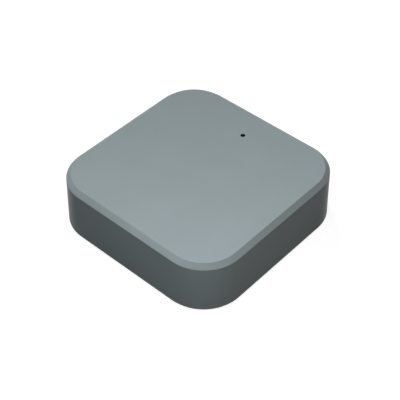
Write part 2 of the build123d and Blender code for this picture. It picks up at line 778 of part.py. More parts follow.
# Cells: each lies along X, its button against a contact's dimple and its base against a spring
can_diameter = cell_diameter - 2 * cell_jacket
button_end = bay_end - contact_thickness - contact_dimple_height
for name, middle_y, facing in (("battery_1", cell_back_y, 1), ("battery_2", cell_front_y, -1)):
    tip_middle = (facing * button_end, middle_y, cell_axis)
    button_tip = Plane(origin=tip_middle, x_dir=(0, 1, 0), z_dir=(-facing, 0, 0))
    with BuildPart() as can:
        with BuildSketch(button_tip.offset(cell_button_height)):
            Circle(can_diameter / 2)
        extrude(amount=cell_length - cell_button_height)
        fillet(can.edges().filter_by(GeomType.CIRCLE), cell_rounding)
        with BuildSketch(button_tip):
            Circle(cell_button_diameter / 2)
        extrude(amount=cell_button_height)
    save(can, name)
    with BuildPart() as jacket:
        with BuildSketch(button_tip.offset(cell_button_height + cell_jacket_inset)):
            Circle(cell_diameter / 2)
            Circle(can_diameter / 2, mode=Mode.SUBTRACT)
        extrude(amount=cell_length - cell_button_height - 2 * cell_jacket_inset)
    save(jacket, name + "_jacket")

# Battery contacts: spring-steel plates against the bay's end walls
tab_reach = contact_tab_end - bay_end + contact_thickness
for name, middle_y, dimpled in (
    ("positive_contact", cell_back_y, True),
    ("negative_contact", cell_front_y, False),
):
    with BuildPart() as contact:
        with BuildSketch(upright(bay_end - contact_thickness)):
            with Locations((middle_y, contact_bottom)):
                Rectangle(contact_width, contact_height, align=from_below)
        extrude(amount=contact_thickness)
        with BuildSketch(level(contact_bottom)):
            with Locations((bay_end - contact_thickness, middle_y)):
                Rectangle(tab_reach, contact_tab_width, align=(Align.MIN, Align.CENTER))
        extrude(amount=contact_thickness)
        if dimpled:
            with BuildSketch(upright(bay_end - contact_thickness)):
                with Locations((middle_y, cell_axis)):
                    Circle(contact_dimple_diameter / 2)
            extrude(amount=-contact_dimple_height, taper=contact_dimple_taper)
    save(contact, name)

with BuildPart() as bridge_contact:
    with BuildSketch(upright(-bay_end)):
        with Locations((bay_centre_y, contact_bottom)):
            Rectangle(cell_pitch + contact_width, contact_height, align=from_below)
    extrude(amount=contact_thickness)
    with BuildSketch(upright(-bay_end + contact_thickness)):
        with Locations((cell_front_y, cell_axis)):
            Circle(contact_dimple_diameter / 2)
    extrude(amount=contact_dimple_height, taper=contact_dimple_taper)
save(bridge_contact, "bridge_contact")

plate_face = bay_end - contact_thickness
negative_seat = Plane(origin=(plate_face, cell_front_y, cell_axis), x_dir=(0, 1, 0), z_dir=(-1, 0, 0))
bridge_seat = Plane(origin=(-plate_face, cell_back_y, cell_axis), x_dir=(0, 1, 0), z_dir=(1, 0, 0))
for name, seat in (("negative_spring", negative_seat), ("bridge_spring", bridge_seat)):
    conical_spring(
        name,
        seat,
        contact_spring_wide,
        contact_spring_narrow,
        contact_spring_wire,
        contact_spring_length,
        contact_spring_turns,
    )

# Battery leads from the contacts' tabs to the board
lead_foot = contact_bottom + contact_thickness
lead_tip = board_top - lead_hole_depth
lead(
    "positive_lead",
    [
        (lead_start_x, cell_back_y, lead_foot),
        (lead_start_x, cell_back_y, lead_run_height),
        (lead_start_x, positive_lead_turn_y, lead_run_height),
        (positive_lead_hole_x, positive_lead_hole_y, lead_run_height),
        (positive_lead_hole_x, positive_lead_hole_y, lead_tip),
    ],
)
lead(
    "negative_lead",
    [
        (lead_start_x, cell_front_y, lead_foot),
        (lead_start_x, cell_front_y, lead_run_height),
        (negative_lead_side_x, negative_lead_first_y, lead_run_height),
        (negative_lead_side_x, negative_lead_last_y, lead_run_height),
        (negative_lead_hole_x, negative_lead_hole_y, lead_run_height),
        (negative_lead_hole_x, negative_lead_hole_y, lead_tip),
    ],
)

# Feet: soft discs that cover the housing screws
for number, (x, y) in enumerate(housing_screw_places, start=1):
    with BuildPart() as foot:
        with BuildSketch(level(0)):
            with Locations((x, y)):
                Circle(foot_diameter / 2)
        extrude(amount=foot_thickness)
        fillet(foot.edges().group_by(Axis.Z)[0], foot_rounding)
    save(foot, f"rubber_foot_{number}")

housing_screws = pan_screws(
    housing_screw_places,
    head_pocket_top,
    housing_screw_head_diameter,
    housing_screw_head_height,
    housing_screw_diameter,
    housing_screw_length,
    points_up=True,
)
save(housing_screws, "housing_screws")

board_screws = pan_screws(
    board_screw_places,
    board_top,
    board_screw_head_diameter,
    board_screw_head_height,
    board_screw_diameter,
    board_screw_length,
    points_up=False,
)
save(board_screws, "board_screws")

# Pairing button: a cap flush with the base, a flange that keeps it in, and a stem under the switch's plunger
with BuildPart() as pairing_button:
    with BuildSketch(level(base_bottom + button_recess)):
        with Locations((0, button_y)):
            Circle(button_diameter / 2)
    extrude(amount=flange_bottom - base_bottom - button_recess)
    with BuildSketch(level(flange_bottom)):
        with Locations((0, button_y)):
            Circle(button_diameter / 2 + button_flange)
    extrude(amount=button_flange_height)
    with BuildSketch(level(flange_bottom + button_flange_height)):
        with Locations((0, button_y)):
            Circle(button_stem_diameter / 2)
    extrude(amount=tact_bottom - tact_plunger_out - button_lift_gap - flange_bottom - button_flange_height)
save(pairing_button, "pairing_button")

# Tactile switch under the board: housing, metal cover, plunger, snap dome and leads
with BuildPart() as tact_switch_housing:
    with BuildSketch(level(tact_inner)):
        with Locations((0, button_y)):
            Rectangle(tact_side, tact_side)
    extrude(amount=board_underside - tact_inner)
    with BuildSketch(level(tact_inner)):
        with Locations((0, button_y)):
            Circle(tact_chamber_diameter / 2)
    extrude(amount=tact_chamber_top - tact_inner, mode=Mode.SUBTRACT)
save(tact_switch_housing, "tact_switch_housing")

with BuildPart() as tact_switch_cover:
    with BuildSketch(level(tact_bottom)):
        with Locations((0, button_y)):
            Rectangle(tact_side, tact_side)
            Circle(tact_plunger_diameter / 2 + tact_plunger_clearance, mode=Mode.SUBTRACT)
    extrude(amount=tact_cover_thickness)
save(tact_switch_cover, "tact_switch_cover")

with BuildPart() as tact_switch_plunger:
    with BuildSketch(level(tact_bottom - tact_plunger_out)):
        with Locations((0, button_y)):
            Circle(tact_plunger_diameter / 2)
    extrude(amount=tact_plunger_top - tact_bottom + tact_plunger_out)
    with BuildSketch(level(tact_inner + button_lift_gap)):
        with Locations((0, button_y)):
            Circle(tact_collar_diameter / 2)
    extrude(amount=tact_collar_height)
save(tact_switch_plunger, "tact_switch_plunger")

dome_crown = tact_chamber_top - tact_dome_bulge
outer_rim = (tact_dome_diameter / 2, tact_chamber_top)
inner_rim = (tact_dome_diameter / 2 - tact_dome_thickness, tact_chamber_top)
with BuildPart() as tact_switch_dome:
    with BuildSketch(Plane.XZ.offset(-button_y)):
        with BuildLine():
            Line((0, dome_crown), (0, dome_crown + tact_dome_thickness))
            TangentArc((0, dome_crown + tact_dome_thickness), inner_rim, tangent=(1, 0))
            Line(inner_rim, outer_rim)
            TangentArc((0, dome_crown), outer_rim, tangent=(1, 0))
        make_face()
    revolve(axis=Axis((0, button_y, 0), (0, 0, 1)))
save(tact_switch_dome, "tact_switch_dome")

with BuildPart() as tact_switch_leads:
    for side in (1, -1):
        for lead_y in (button_y - tact_lead_pitch / 2, button_y + tact_lead_pitch / 2):
            edge_x = side * tact_side / 2
            outwards = Align.MIN if side > 0 else Align.MAX
            with BuildSketch(level(board_underside)):
                with Locations((edge_x, lead_y)):
                    Rectangle(tact_lead_reach, tact_lead_width, align=(outwards, Align.CENTER))
            extrude(amount=-pin_thickness)
            with BuildSketch(level(board_underside)):
                with Locations((edge_x, lead_y)):
                    Rectangle(pin_thickness, tact_lead_width, align=(outwards, Align.CENTER))
            extrude(amount=-tact_lead_rise)
save(tact_switch_leads, "tact_switch_leads")

# Main board: a wide front part and a narrower neck between the rear screw bosses
with BuildPart() as main_board:
    with BuildSketch(level(board_underside)) as board_outline:
        with Locations((0, board_front_y)):
            Rectangle(2 * board_end_x, board_shoulder_y - board_front_y, align=from_below)
            Rectangle(2 * board_neck_x, board_back_y - board_front_y, align=from_below)
        fillet(board_outline.vertices(), board_corner)
        with Locations(*board_screw_places):
            Circle(board_screw_diameter / 2 + shank_clearance, mode=Mode.SUBTRACT)
        with Locations(
            (positive_lead_hole_x, positive_lead_hole_y),
            (negative_lead_hole_x, negative_lead_hole_y),
        ):
            Circle(lead_diameter / 2 + lead_hole_clearance, mode=Mode.SUBTRACT)
    extrude(amount=board_thickness)
save(main_board, "main_board")

# Indicator: a small light on the board and the dark light pipe that carries it to the pinhole
with BuildPart() as status_led:
    with BuildSketch(level(board_top)):
        with Locations((0, pinhole_y)):
            Rectangle(led_length, led_width)
    extrude(amount=led_height)
save(status_led, "status_led")

with BuildPart() as light_pipe:
    with BuildSketch(level(board_top + led_height + pipe_led_gap)):
        with Locations((0, pinhole_y)):
            Circle(pipe_stem_diameter / 2)
    extrude(amount=cover_ceiling - board_top - led_height - pipe_led_gap)
    with BuildSketch(level(cover_ceiling)):
        with Locations((0, pinhole_y)):
            Circle(pipe_flange_diameter / 2)
    extrude(amount=-pipe_flange_height)
    with BuildSketch(level(cover_ceiling)):
        with Locations((0, pinhole_y)):
            Circle(pinhole_diameter / 2 - pipe_clearance)
    extrude(amount=top_wall - pipe_recess)
save(light_pipe, "light_pipe")

# Touch sensing: a cross-shaped film held to the ceiling by an adhesive layer, and two springs that feed it
for name, bottom, thickness in (
    ("electrode_film", electrode_bottom, electrode_thickness),
    ("electrode_adhesive", electrode_bottom + electrode_thickness, adhesive_thickness),
):
    with BuildPart() as film:
        with BuildSketch(level(bottom)) as film_outline:
            Rectangle(electrode_length, electrode_arm_width)
            Rectangle(electrode_arm_width, electrode_length)
            fillet(film_outline.vertices(), electrode_corner)
            with Locations((0, pinhole_y)):
                Circle(pipe_flange_diameter / 2 + electrode_pipe_gap, mode=Mode.SUBTRACT)
        extrude(amount=thickness)
    save(film, name)

for name, x in (("touch_spring_left", -touch_spring_x), ("touch_spring_right", touch_spring_x)):
    conical_spring(
        name,
        Plane(origin=(x, touch_spring_y, board_top)),
        touch_spring_wide,
        touch_spring_narrow,
        touch_spring_wire,
        electrode_bottom - board_top,
        touch_spring_turns,
    )

# Radio module: a small board with a printed antenna, a chip and the shield can over it
module_top = board_top + module_thickness
shield_x = module_x + module_length / 2 - shield_inset - shield_length / 2
with BuildPart() as radio_module_board:
    with BuildSketch(level(board_top)):
        with Locations((module_x, module_y)):
            Rectangle(module_length, module_width)
    extrude(amount=module_thickness)
save(radio_module_board, "radio_module_board")

with BuildPart() as radio_shield_can:
    with BuildSketch(level(module_top)) as can_outline:
        with Locations((shield_x, module_y)):
            Rectangle(shield_length, shield_width)
        fillet(can_outline.vertices(), 2 * shield_wall)
    extrude(amount=shield_height)
    offset(amount=-shield_wall, openings=radio_shield_can.faces().sort_by(Axis.Z)[0])
save(radio_shield_can, "radio_shield_can")

with BuildPart() as radio_chip:
    with BuildSketch(level(module_top)):
        with Locations((shield_x, module_y)):
            Rectangle(radio_chip_side, radio_chip_side)
    extrude(amount=radio_chip_height)
save(radio_chip, "radio_chip")

antenna_first_x = module_x - module_length / 2 + antenna_edge + antenna_line / 2
with BuildPart() as antenna_trace:
    with BuildSketch(level(module_top)):
        for turn in range(antenna_turn_count):
            with Locations((antenna_first_x + turn * antenna_pitch, module_y)):
                Rectangle(antenna_line, antenna_length)
        for turn in range(antenna_turn_count - 1):
            end_y = module_y + (-1) ** turn * (antenna_length - antenna_line) / 2
            with Locations((antenna_first_x + (turn + 0.5) * antenna_pitch, end_y)):
                Rectangle(antenna_pitch, antenna_line)
    extrude(amount=antenna_thickness)
save(antenna_trace, "antenna_trace")

# Other parts on the board
package_body(
    "touch_controller", controller_x, controller_y, controller_length, controller_width, controller_height
)
package_leads(
    "touch_controller_leads",
    controller_x,
    controller_y,
    controller_width,
    controller_height,
    controller_pin_count,
    controller_pin_pitch,
    controller_pin_reach,
)
package_body(
    "voltage_regulator", regulator_x, regulator_y, regulator_length, regulator_width, regulator_height
)
package_leads(
    "voltage_regulator_leads",
    regulator_x,
    regulator_y,
    regulator_width,
    regulator_height,
    regulator_pin_count,
    regulator_pin_pitch,
    regulator_pin_reach,
)

with BuildPart() as bulk_capacitor_base:
    with BuildSketch(level(board_top)) as capacitor_foot:
        with Locations((capacitor_x, capacitor_y)):
            Rectangle(capacitor_base_side, capacitor_base_side)
        chamfer(capacitor_foot.vertices().group_by(Axis.Y)[-1], capacitor_base_cut)
    extrude(amount=capacitor_base_height)
save(bulk_capacitor_base, "bulk_capacitor_base")

with BuildPart() as bulk_capacitor:
    with BuildSketch(level(board_top + capacitor_base_height)):
        with Locations((capacitor_x, capacitor_y)):
            Circle(capacitor_can_diameter / 2)
    extrude(amount=capacitor_can_height)
    fillet(bulk_capacitor.edges().group_by(Axis.Z)[-1], capacitor_can_rounding)
save(bulk_capacitor, "bulk_capacitor")

with BuildPart() as crystal:
    with BuildSketch(level(board_top)):
        with Locations((0, crystal_y)):
            Rectangle(crystal_length, crystal_width)
    extrude(amount=crystal_height)
save(crystal, "crystal")

chip_bodies("chip_capacitors", capacitor_places)
chip_bodies("chip_resistors", resistor_places)
with BuildPart() as chip_terminals:
    with BuildSketch(level(board_top)):
        for x, y in capacitor_places + resistor_places:
            with Locations((x - (chip_length - chip_end) / 2, y), (x + (chip_length - chip_end) / 2, y)):
                Rectangle(chip_end, chip_width)
    extrude(amount=chip_height)
save(chip_terminals, "chip_terminals")
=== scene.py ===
"""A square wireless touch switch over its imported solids: finishes, small pieces and a plain studio."""

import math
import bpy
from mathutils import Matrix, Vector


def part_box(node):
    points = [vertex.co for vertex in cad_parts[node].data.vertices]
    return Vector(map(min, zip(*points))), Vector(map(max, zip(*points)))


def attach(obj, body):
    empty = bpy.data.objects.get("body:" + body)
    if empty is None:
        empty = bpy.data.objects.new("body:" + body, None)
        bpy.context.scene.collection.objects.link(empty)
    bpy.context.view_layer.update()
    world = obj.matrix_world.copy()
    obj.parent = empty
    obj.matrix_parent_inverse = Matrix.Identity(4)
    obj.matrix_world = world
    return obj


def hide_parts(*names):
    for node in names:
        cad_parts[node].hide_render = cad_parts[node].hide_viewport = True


bl_info = {
    "name": "Wireless Touch Switch",
    "version": (1, 0, 0),
    "blender": (4, 5, 0),
    "location": "3D View > Sidebar > Touch Switch",
    "description": "Finishes, small pieces and a studio for a square battery-powered touch switch",
    "category": "Object",
}

from collections import namedtuple

import bmesh
import bpy
from bpy.props import FloatProperty, FloatVectorProperty, PointerProperty
from bpy.types import Operator, Panel, PropertyGroup
from mathutils import Matrix, Vector, noise

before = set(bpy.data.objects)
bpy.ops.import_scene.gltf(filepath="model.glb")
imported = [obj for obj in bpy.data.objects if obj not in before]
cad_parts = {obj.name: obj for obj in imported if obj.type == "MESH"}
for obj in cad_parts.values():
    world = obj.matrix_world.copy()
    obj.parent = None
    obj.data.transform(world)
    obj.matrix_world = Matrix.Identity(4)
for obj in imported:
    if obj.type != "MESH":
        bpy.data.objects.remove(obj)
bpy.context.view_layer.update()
MM = 0.001


# Sizes and colours that a user would change


def colour(name, description, red, green, blue):
    """A colour setting, in scene-linear values."""
    return FloatVectorProperty(
        name=name,
        description=description,
        default=(red, green, blue),
        min=0,
        max=1,
        size=3,
        subtype="COLOR",
    )


def length(name, description, default):
    """A length setting, given here in millimetres."""
    return FloatProperty(
        name=name,
        description=description,
        default=default * MM,
        min=0,
        precision=5,
        unit="LENGTH",
        subtype="DISTANCE",
    )


def angle(name, description, degrees):
    """An angle setting."""
    return FloatProperty(
        name=name, description=description, default=math.radians(degrees), unit="ROTATION", subtype="ANGLE"
    )


def share(name, description, default):
    """A setting from 0 to 1."""
    return FloatProperty(name=name, description=description, default=default, min=0, max=1, subtype="FACTOR")


class MouldingSettings(PropertyGroup):
    """Colours and surface of the moulded plastic and rubber."""

    cover: colour("Cover", "Satin grey plastic of the top cover", 0.305, 0.356, 0.371)
    cover_roughness: share("Cover roughness", "How matt the cover is", 0.38)
    base: colour("Base", "Plastic of the base plate and battery door", 0.235, 0.27, 0.28)
    button: colour("Button", "Plastic of the pairing button", 0.018, 0.018, 0.02)
    lens: colour("Lens", "Smoked acrylic of the light pipe", 0.0015, 0.0015, 0.0018)
    pinhole: length("Pinhole", "Width of the hole in the touch face, which the light pipe's lens fills", 1.7)
    rubber: colour("Rubber", "Rubber of the four feet", 0.022, 0.022, 0.023)
    grain: length("Grain", "Size of the fine texture that the mould leaves", 0.35)


class FoamSettings(PropertyGroup):
    """The foam strip that holds the cells off the battery door."""

    tone: colour("Foam", "Colour of the foam", 0.05, 0.05, 0.055)
    inset: length("Inset", "How far the foam's sides stay inside its solid's box", 0.08)
    crown: length("Crown", "How much lower the foam's top is at its edges", 0.25)
    pores: length("Pores", "Size of the foam's open cells", 0.5)


class CellSettings(PropertyGroup):
    """The two AAA cells and their shrink sleeves."""

    sleeve: colour("Sleeve", "Main colour of the sleeve", 0.02, 0.055, 0.075)
    band: colour("Band", "Band at the positive end", 0.42, 0.44, 0.43)
    band_width: length("Band width", "From the sleeve's positive end", 7.0)
    film: length("Film", "Thickness of the film that is shrunk over a cell's edges", 0.15)


class MetalSettings(PropertyGroup):
    """Platings, solder and screws."""

    nickel: colour("Nickel", "Plated contacts, springs and cell cans", 0.6, 0.57, 0.52)
    gold: colour("Gold", "Plating of the touch springs", 0.83, 0.57, 0.2)
    steel: colour("Steel", "Zinc-plated screws", 0.42, 0.43, 0.45)
    tin: colour("Tin", "Tinned leads, shield and solder", 0.62, 0.62, 0.61)
    copper: colour("Copper", "Sensing film and antenna", 0.64, 0.31, 0.17)


class BoardSettings(PropertyGroup):
    """The boards, their parts and the leads."""

    mask: colour("Solder mask", "Lacquer over the bare laminate", 0.008, 0.07, 0.03)
    track: colour("Track", "Lacquer where copper lies below it", 0.02, 0.13, 0.055)
    track_pitch: length("Track pitch", "From one printed track to the next", 0.9)
    package: colour("Package", "Moulding compound of the chips", 0.018, 0.018, 0.02)
    red: colour("Red lead", "Insulation of the positive lead", 0.42, 0.02, 0.015)
    black: colour("Black lead", "Insulation of the negative lead", 0.015, 0.015, 0.015)
    joint: length("Solder joint", "Widest radius of a solder joint", 1.1)


class StudioSettings(PropertyGroup):
    """The floor, the lamps and the camera."""

    bounce: share("Floor bounce", "How much light the floor gives back to the object", 0.05)
    shadow: share("Shadow", "How strongly the floor shows the object's shadow", 0.15)
    ambient: share("Ambient", "Even light from all round", 0.01)
    lens: FloatProperty(name="Lens", description="Focal length", default=94.0, unit="CAMERA")
    azimuth: angle("Azimuth", "Camera's bearing", 41.718)
    elevation: angle("Elevation", "Camera's height angle", 44.367)
    roll: angle("Roll", "Camera's tilt", 0.225)
    distance: length("Distance", "From the camera to the middle of the body", 345.02)
    aside: length("Aside", "How far the camera stands to its own right", 0.476)
    below: length("Below", "How far the camera stands under the middle's line", 3.365)


# What the scene calls each group of settings
SETTINGS = {
    "switch_moulding": MouldingSettings,
    "switch_foam": FoamSettings,
    "switch_cells": CellSettings,
    "switch_metals": MetalSettings,
    "switch_board": BoardSettings,
    "switch_studio": StudioSettings,
}

# A lamp has a bearing and height in degrees, a distance from the cover's middle and a width in metres, and a
# tone, which is about how a white surface there looks when it faces the lamp. A wide lamp close by gives
# somewhat less. The key is far off, so it has no distance, and its width is an angle in degrees.
Lamp =namedtuple("Lamp", "name bearing height distance width tone")
LAMPS = (
    Lamp("key", 255, 48, None, 25, (0.6, 0.6, 0.6)),
    Lamp("front", 39, 55, 0.16, 0.14, (0.558, 0.576, 0.572)),
    Lamp("side", 91, 16, 1.0, 0.4, (0.027, 0.015, 0.009)),
    Lamp("back", 182, 6, 1.0, 0.12, (0.11, 0.11, 0.11)),
)
KEY = LAMPS[0]

# The low lamp behind the object, which would draw a gloss along the touch face and so gives plain light only
MATT_LAMP = "back"

# How bright the key alone makes the floor, so that the floor stays white outside the shadow
SHADOWLESS = 1.03

# How far the floor lies below the feet, which keeps the two apart, and how many metres it reaches each way
FLOOR_DROP = 0.02 * MM
FLOOR_REACH = 3


# Shader nodes


class Level:
    """A number, colour or vector inside a node tree, with Python's arithmetic on it."""

    def __init__(self, tree, socket):
        self.tree = tree
        self.socket = socket

    def result(self, operation, first, second):
        """Adds the node that works one operation out."""
        graded = any(
            side.socket.type != "VALUE" if isinstance(side, Level) else isinstance(side, tuple)
            for side in (first, second)
        )
        kind = "ShaderNodeVectorMath" if graded else "ShaderNodeMath"
        return self.tree.add(kind, {"operation": operation}, {0: first, 1: second})

    def __add__(self, other):
        return self.result("ADD", self, other)

    def __radd__(self, other):
        return self.result("ADD", other, self)

    def __sub__(self, other):
        return self.result("SUBTRACT", self, other)

    def __rsub__(self, other):
        return self.result("SUBTRACT", other, self)

    def __mul__(self, other):
        return self.result("MULTIPLY", self, other)

    def __rmul__(self, other):
        return self.result("MULTIPLY", other, self)

    def __gt__(self, other):
        return self.result("GREATER_THAN", self, other)

    def __lt__(self, other):
        return self.result("LESS_THAN", self, other)


class Tree:
    """The nodes of one material or world."""

    def __init__(self, owner):
        owner.use_nodes = True
        self.nodes = owner.node_tree.nodes
        self.links = owner.node_tree.links

    def add(self, kind, settings=(), sockets=(), out=0):
        """Adds a node, sets what it is, then fills its sockets with values or links."""
        node = self.nodes.new(kind)
        for name, value in dict(settings).items():
            setattr(node, name, value)
        for key, value in dict(sockets).items():
            self.fill(node.inputs[key], value)
        return Level(self, node.outputs[out]) if node.outputs else None

    def fill(self, socket, value):
        """Gives a socket a value or a link."""
        if isinstance(value, Level):
            self.links.new(value.socket, socket)
        elif socket.type == "RGBA" and len(value) == 3:
            socket.default_value = (*value, 1)
        else:
            socket.default_value = value

    def blend(self, factor, first, second):
        """Mixes two colours."""
        return self.add("ShaderNodeMix", {"data_type": "RGBA"}, {0: factor, 6: first, 7: second}, out=2)


class Finish(Tree):
    """A material round one Principled shader."""

    def __init__(self, name, tone, roughness, **uniform):
        self.material = bpy.data.materials.new(name)
        super().__init__(self.material)
        self.tone = tuple(tone)
        self.shader = self.nodes["Principled BSDF"]
        self.varies(Base_Color=self.tone, Roughness=roughness, **uniform)
        self.place = self.add("ShaderNodeTexCoord", out="Object") * (1 / MM, 1 / MM, 1 / MM)

    def varies(self, **sockets):
        """Fills the shader's own sockets."""
        for words, value in sockets.items():
            self.fill(self.shader.inputs[words.replace("_", " ")], value)

    def mottle(self, size, detail=2.0, stretch=(1, 1, 1)):
        """Soft noise from 0 to 1, with features of about one size in millimetres."""
        place = self.place * tuple(1 / (size * way) for way in stretch)
        return self.add(
            "ShaderNodeTexNoise", {}, {"Vector": place, "Scale": 1.0, "Detail": detail, "Roughness": 0.55}
        )

    def pits(self, size):
        """0 at the middle of scattered pits of one size in millimetres, and about 1 between them."""
        return self.add("ShaderNodeTexVoronoi", {}, {"Vector": self.place, "Scale": 1 / size})

    def along(self, axis, place=None):
        """One coordinate of a place, or of the surface itself in millimetres."""
        return self.add("ShaderNodeSeparateXYZ", {}, {0: place or self.place}, out=axis)

    def rises(self, level, low, high):
        """0 below one value and 1 above another, smooth between them."""
        return self.add(
            "ShaderNodeMapRange",
            {"interpolation_type": "SMOOTHSTEP"},
            {"Value": level, "From Min": low, "From Max": high},
        )

    def away(self, x, y, place=None):
        """Distance of a place, or of the surface itself in millimetres, from an upright line."""
        flat = (place or self.place) * (1.0, 1.0, 0.0)
        ends = {0: flat, 1: (x, y, 0.0)}
        return self.add("ShaderNodeVectorMath", {"operation": "DISTANCE"}, ends, out="Value")

    def clouded(self, amount, size=14, stretch=(1, 1, 1)):
        """The tone, a little paler and deeper in soft clouds."""
        clouds = self.mottle(size, stretch=stretch)
        deeper = tuple(part * (1 - amount) for part in self.tone)
        paler = tuple(min(1.0, part * (1 + amount)) for part in self.tone)
        return self.blend(clouds, deeper, paler)

    def raise_by(self, height, depth):
        """A bump whose height of 1 is a depth in millimetres."""
        return self.add("ShaderNodeBump", {}, {"Height": height, "Distance": depth * MM, "Strength": 1.0})


# Finishes


def moulded(name, tone, roughness, grain, depth, gloss=0.5):
    """Moulded plastic: a fine spark-eroded grain, with slight clouds in its colour and shine."""
    finish = Finish(name, tone, roughness, Specular_IOR_Level=gloss)
    fine = finish.mottle(grain / MM, detail=3.0)
    finish.varies(
        Base_Color=finish.clouded(0.04),
        Roughness=roughness - 0.05 + finish.mottle(9) * 0.04 + fine * 0.06,
        Normal=finish.raise_by(fine, depth),
    )
    return finish.material


def rubbery(name, tone, grain):
    """Moulded rubber: matt, finely pitted, with a trace of dust."""
    finish = Finish(name, tone, 0.8, Specular_IOR_Level=0.35)
    fine = finish.mottle(grain / MM * 0.8, detail=4.0)
    dust = finish.rises(finish.mottle(2.2, detail=5.0), 0.5, 0.75)
    finish.varies(
        Base_Color=finish.blend(dust * 0.25, finish.clouded(0.1, 3), (0.12, 0.118, 0.11)),
        Roughness=0.72 + fine * 0.16,
        Normal=finish.raise_by(fine, 0.03),
    )
    return finish.material


def foamed(name, tone, pores):
    """Open-cell foam: matt walls, with painted shade darkening the pores between them."""
    finish = Finish(name, tone, 0.95, Specular_IOR_Level=0.15, Sheen_Weight=0.2, Sheen_Roughness=0.6)
    walls = finish.rises(finish.pits(pores / MM), 0.12, 0.5)
    small = finish.rises(finish.pits(pores / MM * 0.4), 0.1, 0.45)
    # The pores are painted darker, as the shade inside the open cells, not a colour of the foam itself.
    pore_shade_tone = tuple(part * 0.25 for part in finish.tone)
    finish.varies(
        Base_Color=finish.blend(walls * (0.5 + small * 0.5), pore_shade_tone, finish.clouded(0.15, 3)),
        Normal=finish.raise_by(walls * 0.7 + small * 0.3, 0.12),
    )
    return finish.material


def plated(name, tone, roughness, stretch=(1, 1, 1), depth=0.002):
    """Plated or drawn metal: bright, with fine streaks one way and slightly dulled clouds."""
    finish = Finish(name, tone, roughness, Metallic=1.0)
    streaks = finish.mottle(0.12, detail=3.0, stretch=stretch)
    dulled = finish.rises(finish.mottle(2.5, detail=4.0), 0.45, 0.7)
    dull_tone = tuple(part * 0.7 for part in finish.tone)
    finish.varies(
        Base_Color=finish.blend(dulled * 0.3, finish.clouded(0.06, 3), dull_tone),
        Roughness=roughness - 0.06 + streaks * 0.12 + dulled * 0.08,
        Normal=finish.raise_by(streaks, depth),
    )
    return finish.material


def sleeved(name, tone, band, start, way):
    """Printed shrink film: one tone, then a thin line and a band at one end, under a clear gloss."""
    finish = Finish(name, tone, 0.32, Coat_Weight=0.6, Coat_Roughness=0.12)
    out = (finish.along(0) - start / MM) * float(way)
    painted = out > 0.0
    line_start, line_end = -1.6, -1.0
    line = (out > line_start) * (out < line_end)
    wrinkles = finish.mottle(0.9, detail=3.0, stretch=(5, 1, 1))
    finish.varies(
        Base_Color=finish.blend(painted + line, finish.clouded(0.08, 6), tuple(band)),
        Roughness=0.27 + wrinkles * 0.1,
        Normal=finish.raise_by(wrinkles, 0.015),
    )
    return finish.material


def insulated(name, tone):
    """Soft extruded insulation: satin, with faint marks along it."""
    finish = Finish(name, tone, 0.42, Specular_IOR_Level=0.4)
    marks = finish.mottle(0.5, detail=3.0)
    finish.varies(
        Base_Color=finish.clouded(0.12, 2.5),
        Roughness=0.36 + marks * 0.14,
        Normal=finish.raise_by(marks, 0.012),
    )
    return finish.material


def laminated(name, mask, track, pitch, tin):
    """A printed board: glossy lacquer, slightly proud and paler over its copper tracks, with tinned vias
    whose holes are painted near-black as the shade inside them.
    """
    finish = Finish(name, mask, 0.3, Coat_Weight=0.3, Coat_Roughness=0.15)
    step = pitch / MM
    # The pattern is laid out in squares that go right through the board. A square whose random number is
    # high enough has a track or a via, and the widths inside it are shares of the square.
    through = 50.0
    track_start, track_end, track_from = 0.32, 0.68, 0.66
    pad_reach, hole_reach, via_from = 0.36, 0.17, 0.93

    def squares(*run):
        """Each square's own random number, and the place inside it from 0 to 1."""
        grid = finish.place * tuple(1 / side for side in run)
        cell = finish.add("ShaderNodeVectorMath", {"operation": "FLOOR"}, {0: grid})
        inside = finish.add("ShaderNodeVectorMath", {"operation": "FRACTION"}, {0: grid})
        return finish.add("ShaderNodeTexWhiteNoise", {}, {"Vector": cell}), inside

    tracks = None
    for axis, run in ((1, (9 * step, step, through)), (0, (step, 7 * step, through))):
        lot, inside = squares(*run)
        across = finish.along(axis, inside)
        one_way = (across > track_start) * (across < track_end) * (lot > track_from)
        tracks = one_way if tracks is None else tracks + one_way * (1 - tracks)
    lot, inside = squares(step, step, through)
    reach = finish.away(0.5, 0.5, inside)
    via = (reach < pad_reach) * (lot > via_from)
    # The middle of each via is painted near-black further down, as the shade inside its hole.
    hole_shade = (reach < hole_reach) * via
    ring = via - hole_shade
    weave = finish.mottle(0.4, detail=2.0)
    lacquer = finish.blend(tracks, finish.clouded(0.15, 1.5), tuple(track))
    finish.varies(
        Base_Color=finish.blend(hole_shade, finish.blend(ring, lacquer, tuple(tin)), (0.004, 0.004, 0.004)),
        Metallic=ring,
        Roughness=0.24 + weave * 0.12,
        Normal=finish.raise_by(tracks * 0.8 + weave * 0.2 + ring * 0.4 - hole_shade, 0.035),
    )
    return finish.material


def compound(name, tone):
    """Chip moulding compound: matt black with a fine sandy grain."""
    finish = Finish(name, tone, 0.6)
    sand = finish.mottle(0.08, detail=3.0)
    finish.varies(
        Base_Color=finish.blend(sand * 0.3, finish.tone, (0.06, 0.06, 0.062)),
        Roughness=0.5 + sand * 0.2,
        Normal=finish.raise_by(sand, 0.008),
    )
    return finish.material


def soldered(name, tone):
    """Solder: bright where it flowed, greyer where it froze."""
    finish = Finish(name, tone, 0.3, Metallic=1.0)
    frozen = finish.rises(finish.mottle(0.35, detail=4.0), 0.4, 0.65)
    finish.varies(
        Base_Color=finish.blend(frozen * 0.5, finish.tone, (0.4, 0.4, 0.4)),
        Roughness=0.22 + frozen * 0.25,
        Normal=finish.raise_by(frozen, 0.02),
    )
    return finish.material


def glued(name):
    """A film of clear acrylic adhesive on its carrier."""
    finish = Finish(name, (0.62, 0.58, 0.46), 0.35, Specular_IOR_Level=0.4)
    finish.varies(Base_Color=finish.clouded(0.1, 4), Roughness=0.28 + finish.mottle(1.2) * 0.2)
    return finish.material


